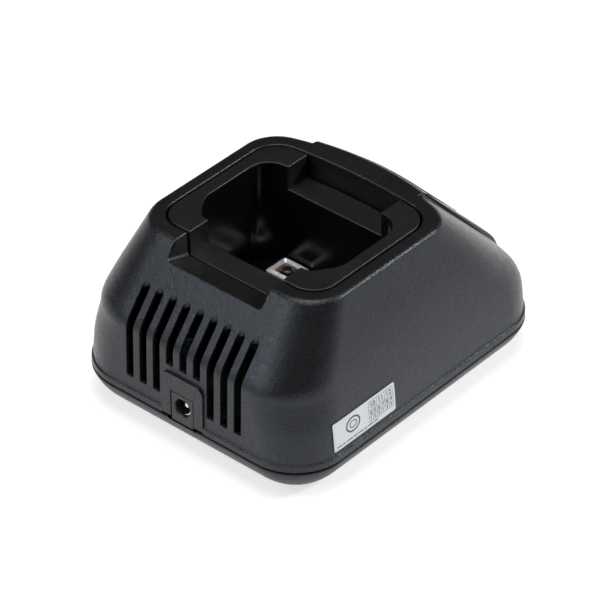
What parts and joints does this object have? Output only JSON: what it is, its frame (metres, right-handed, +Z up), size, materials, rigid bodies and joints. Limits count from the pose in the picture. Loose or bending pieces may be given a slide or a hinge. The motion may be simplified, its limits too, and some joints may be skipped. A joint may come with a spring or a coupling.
{
  "type": "radio charging cradle",
  "caption": "Desktop charging cradle for a hand-held two-way radio: sloped black housing, open pocket with sprung contacts, rear vents, round power inlet and a tray base on rubber feet.",
  "frame": {"origin": "middle of the footprint, on the table under the rubber feet", "axes": "+Z up, +Y towards the rear face with the power inlet and vents, -Y towards the indicator panel, X across"},
  "size_m": [0.0992, 0.128, 0.0624],
  "materials": {
    "housing_plastic": "moulded black ABS, fine leather grain on the slopes, smoother lower band",
    "base_plastic": "moulded black ABS, fine texture",
    "pocket_plastic": "moulded black ABS, fine matt top face, polished well",
    "nickel_plate": "bright nickel plate",
    "contact_bronze": "dark phosphor bronze, polished",
    "spring_steel": "drawn spring wire",
    "inlet_plastic": "moulded black nylon",
    "board_laminate": "green solder mask on glass-epoxy laminate",
    "capacitor_sleeve": "heat-shrunk dark blue sleeve",
    "ferrite": "dark grey ferrite with lacquered winding",
    "chip_epoxy": "black moulding compound",
    "cement_ceramic": "off-white cement filled ceramic",
    "fuse_lacquer": "ochre lacquer",
    "aluminium_extrusion": "extruded, satin",
    "red_lens": "tinted clear epoxy",
    "green_lens": "tinted clear epoxy",
    "clear_plastic": "clear polycarbonate",
    "white_label": "printed white film, plain ring and ruled grid",
    "dark_overlay": "fine matt printed film",
    "silver_label": "matt silver film, blank ruled lines",
    "screw_steel": "zinc plated steel",
    "foot_rubber": "soft black rubber"
  },
  "bodies": {
    "cradle": {"top_housing": "housing_plastic", "base_cover": "base_plastic", "charging_pocket": "pocket_plastic", "contact_carrier": "inlet_plastic", "contact_bezel_left": "nickel_plate", "contact_bezel_right": "nickel_plate", "contact_spring_left": "spring_steel", "contact_spring_right": "spring_steel", "power_inlet_body": "inlet_plastic", "power_inlet_pin": "nickel_plate", "power_inlet_leaf": "nickel_plate", "circuit_board": "board_laminate", "input_capacitor": "capacitor_sleeve", "output_capacitor": "capacitor_sleeve", "storage_inductor": "ferrite", "charge_controller": "chip_epoxy", "sense_resistor": "cement_ceramic", "input_fuse": "fuse_lacquer", "rectifier_diode": "chip_epoxy", "power_transistor": "chip_epoxy", "heat_sink": "aluminium_extrusion", "indicator_led_left": "red_lens", "indicator_led_right": "green_lens", "light_pipe_left": "clear_plastic", "light_pipe_right": "clear_plastic", "side_label": "white_label", "front_overlay": "dark_overlay", "rating_label": "silver_label", "base_screw_front_left": "screw_steel", "base_screw_front_right": "screw_steel", "base_screw_rear_left": "screw_steel", "base_screw_rear_right": "screw_steel", "board_screw_front_left": "screw_steel", "board_screw_front_right": "screw_steel", "board_screw_rear_left": "screw_steel", "board_screw_rear_right": "screw_steel", "pocket_screw_front_left": "screw_steel", "pocket_screw_front_right": "screw_steel", "pocket_screw_rear_left": "screw_steel", "pocket_screw_rear_right": "screw_steel", "rubber_foot_front_left": "foot_rubber", "rubber_foot_front_right": "foot_rubber", "rubber_foot_rear_left": "foot_rubber", "rubber_foot_rear_right": "foot_rubber"},
    "contact_left": {"contact_plunger_left": "contact_bronze"},
    "contact_right": {"contact_plunger_right": "contact_bronze"}
  },
  "joints": [
    {"name": "contact_left_press", "type": "slide", "parent": "cradle", "child": "contact_left", "axis": [0, 0, -1], "range_m": [0, 0.0016], "stiffness_N_per_m": 400, "springref_m": -0.0012, "deforming": ["contact_spring_left"]},
    {"name": "contact_right_press", "type": "slide", "parent": "cradle", "child": "contact_right", "axis": [0, 0, -1], "range_m": [0, 0.0016], "stiffness_N_per_m": 400, "springref_m": -0.0012, "deforming": ["contact_spring_right"]}
  ]
}
